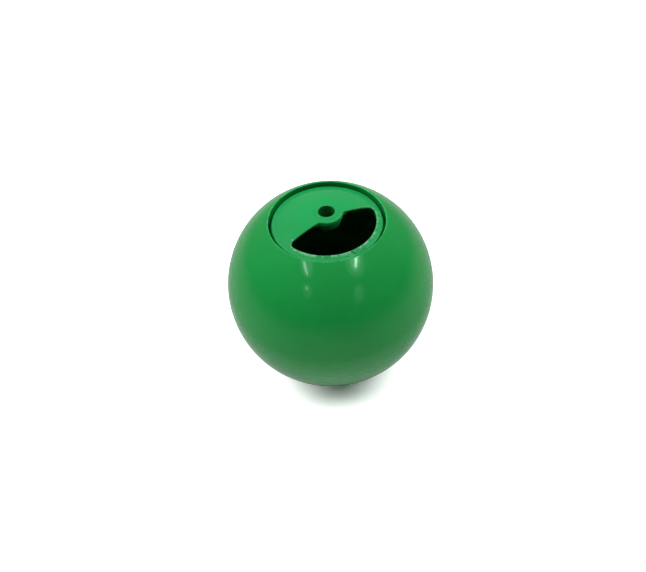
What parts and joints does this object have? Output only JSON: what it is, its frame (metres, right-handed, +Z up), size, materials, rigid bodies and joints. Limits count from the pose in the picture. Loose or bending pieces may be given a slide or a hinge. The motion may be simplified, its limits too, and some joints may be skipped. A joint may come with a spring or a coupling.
{
  "type": "feed ball with turning plate",
  "caption": "Hollow rigid ball with a round mouth; a domed plate recessed in it turns to open or close a half-moon feed port.",
  "frame": {"origin": "middle of the flat foot under the ball", "axes": "+Z up along the ball's axis through the mouth; -Y towards the middle of the half-moon port"},
  "size_m": [0.2, 0.2, 0.193],
  "materials": {
    "ball_plastic": "glossy saturated green",
    "plate_plastic": "green, a little less glossy than the ball",
    "fitting_plastic": "dark green, matte"
  },
  "bodies": {
    "ball": {"upper_shell": "ball_plastic", "lower_shell": "ball_plastic", "seat_plate": "plate_plastic", "pivot_bush": "plate_plastic", "thrust_washer": "fitting_plastic", "retaining_clip": "fitting_plastic"},
    "plate": {"dispensing_plate": "plate_plastic"}
  },
  "joints": [
    {"name": "plate_turn", "type": "hinge", "parent": "ball", "child": "plate", "pos_m": [0, 0, 0.188], "axis": [0, 0, 1], "continuous": true}
  ]
}
